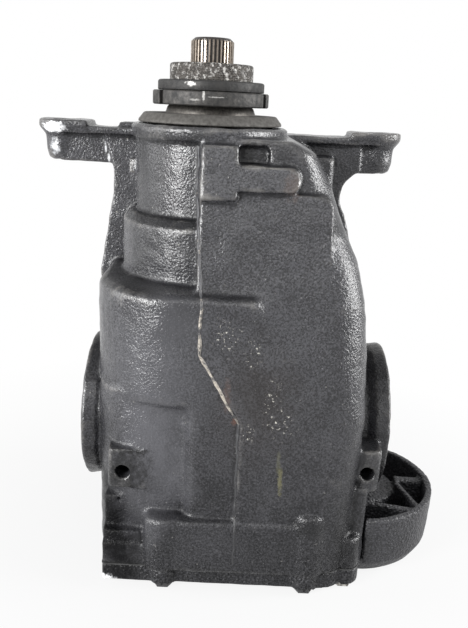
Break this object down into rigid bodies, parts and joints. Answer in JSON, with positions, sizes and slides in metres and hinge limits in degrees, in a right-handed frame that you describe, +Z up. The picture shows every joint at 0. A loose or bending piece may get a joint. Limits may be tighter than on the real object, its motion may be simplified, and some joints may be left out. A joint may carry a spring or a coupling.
{
  "type": "rear differential",
  "caption": "Rear axle final drive with splined input, bevel gear set and differential inside a cast housing, two front ears and a rear cover with a ribbed bush arm.",
  "frame": {"origin": "where the pinion axis crosses the output axis, at the centre of the differential", "axes": "+Z up along the pinion axis towards the input spline, +X along the output axis to the cover arm's side, -Y towards the viewer of the picture"},
  "size_m": [0.3185, 0.1955, 0.3818],
  "materials": {
    "cast_black": "satin black paint over rough sand-cast iron",
    "cover_black": "satin black paint over cast aluminium",
    "gasket": "dark fibre gasket",
    "bolt_steel": "zinc-plated steel, worn",
    "copper": "soft copper",
    "plastic": "black plastic",
    "seal_rubber": "black nitrile rubber",
    "bush_steel": "plain steel",
    "bush_rubber": "black rubber",
    "bright_steel": "ground steel",
    "pinion_steel": "machined steel with a warm tint",
    "thread_steel": "steel with thread-lock residue",
    "nut_steel": "grey steel, dull",
    "shield_steel": "grey-brown oxidised sheet steel",
    "case_iron": "machined cast iron",
    "gear_steel": "phosphated gear steel",
    "bolt_dark": "black oxide steel",
    "bearing_steel": "polished bearing steel"
  },
  "bodies": {
    "housing": {"housing": "cast_black", "rear_cover": "cover_black", "cover_gasket": "gasket", "cover_bolts": "bolt_steel", "fill_plug": "bolt_steel", "fill_plug_washer": "copper", "breather": "plastic", "pinion_seal": "seal_rubber", "output_seal_left": "seal_rubber", "output_seal_right": "seal_rubber", "rear_bush_sleeve": "bush_steel", "rear_bush_rubber": "bush_rubber", "carrier_bearing_cup_left": "bearing_steel", "carrier_bearing_cup_right": "bearing_steel", "preload_shim_left": "bright_steel", "preload_shim_right": "bright_steel", "snap_ring_left": "bolt_dark", "snap_ring_right": "bolt_dark", "pinion_head_bearing_cup": "bearing_steel", "pinion_tail_bearing_cup": "bearing_steel"},
    "pinion": {"drive_pinion": "pinion_steel", "pinion_shim": "bright_steel", "crush_sleeve": "bright_steel", "input_sleeve": "thread_steel", "lock_nut": "nut_steel", "lock_ring": "nut_steel", "dust_shield": "shield_steel", "pinion_head_bearing_cone": "bearing_steel", "pinion_head_bearing_rollers": "bearing_steel", "pinion_tail_bearing_cone": "bearing_steel", "pinion_tail_bearing_rollers": "bearing_steel"},
    "carrier": {"differential_case": "case_iron", "crown_wheel": "gear_steel", "crown_wheel_bolts": "bolt_dark", "cross_pin": "bright_steel", "cross_pin_lock": "bright_steel", "carrier_bearing_cone_left": "bearing_steel", "carrier_bearing_cone_right": "bearing_steel", "carrier_bearing_rollers_left": "bearing_steel", "carrier_bearing_rollers_right": "bearing_steel"},
    "left_side_gear": {"side_gear_left": "gear_steel", "side_gear_washer_left": "bright_steel"},
    "right_side_gear": {"side_gear_right": "gear_steel", "side_gear_washer_right": "bright_steel"},
    "spider_gear_a": {"spider_gear_a": "gear_steel", "spider_washer_a": "bright_steel"},
    "spider_gear_b": {"spider_gear_b": "gear_steel", "spider_washer_b": "bright_steel"}
  },
  "joints": [
    {"name": "carrier_spin", "type": "hinge", "parent": "housing", "child": "carrier", "pos_m": [0, 0, 0], "axis": [1, 0, 0], "continuous": true},
    {"name": "pinion_spin", "type": "hinge", "parent": "housing", "child": "pinion", "pos_m": [0, 0, 0], "axis": [0, 0, 1], "continuous": true},
    {"name": "left_side_gear_spin", "type": "hinge", "parent": "carrier", "child": "left_side_gear", "pos_m": [0, 0, 0], "axis": [1, 0, 0], "continuous": true},
    {"name": "right_side_gear_spin", "type": "hinge", "parent": "carrier", "child": "right_side_gear", "pos_m": [0, 0, 0], "axis": [1, 0, 0], "continuous": true},
    {"name": "spider_gear_a_spin", "type": "hinge", "parent": "carrier", "child": "spider_gear_a", "pos_m": [0, 0, 0], "axis": [0, 0, 1], "continuous": true},
    {"name": "spider_gear_b_spin", "type": "hinge", "parent": "carrier", "child": "spider_gear_b", "pos_m": [0, 0, 0], "axis": [0, 0, 1], "continuous": true}
  ],
  "couplings": [
    {"joint": "pinion_spin", "follows": "carrier_spin", "ratio": -3.0833},
    {"joint": "right_side_gear_spin", "follows": "left_side_gear_spin", "ratio": -1},
    {"joint": "spider_gear_a_spin", "follows": "left_side_gear_spin", "ratio": 1.6},
    {"joint": "spider_gear_b_spin", "follows": "left_side_gear_spin", "ratio": -1.6}
  ]
}
